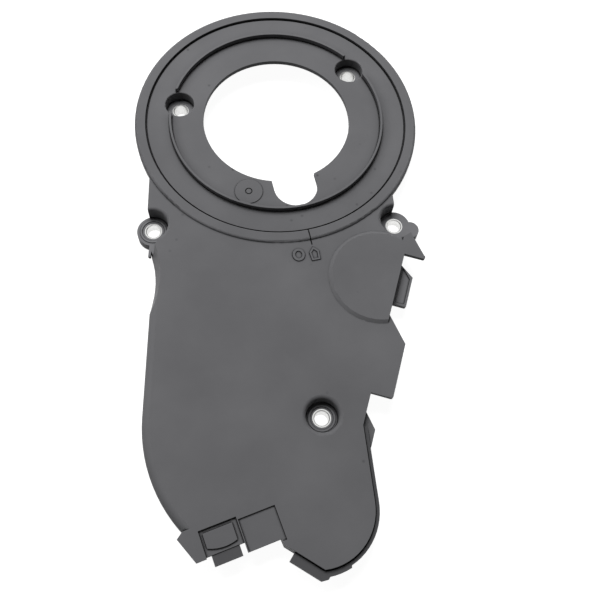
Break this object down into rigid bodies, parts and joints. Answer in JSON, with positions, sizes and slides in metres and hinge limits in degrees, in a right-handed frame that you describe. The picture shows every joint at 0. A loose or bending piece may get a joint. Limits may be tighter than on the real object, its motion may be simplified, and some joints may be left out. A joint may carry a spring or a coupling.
{
  "type": "timing cover",
  "caption": "Shallow moulded timing belt cover with a round crank opening in a raised ring, a long belt run with edge tabs, a clip, and bolt points with steel sleeves.",
  "frame": {"origin": "on the crank axis, in the plane of the front face", "axes": "+Z out of the front face along the crank axis, +Y from the belt run towards the ring"},
  "size_m": [0.1423, 0.2863, 0.0151],
  "materials": {
    "cover_plastic": "matte",
    "sleeve_steel": "bright"
  },
  "bodies": {
    "root": {"cover": "cover_plastic", "ring_sleeve_left": "sleeve_steel", "ring_sleeve_right": "sleeve_steel", "ear_sleeve_left": "sleeve_steel", "ear_sleeve_right": "sleeve_steel", "boss_sleeve": "sleeve_steel"}
  },
  "joints": []
}
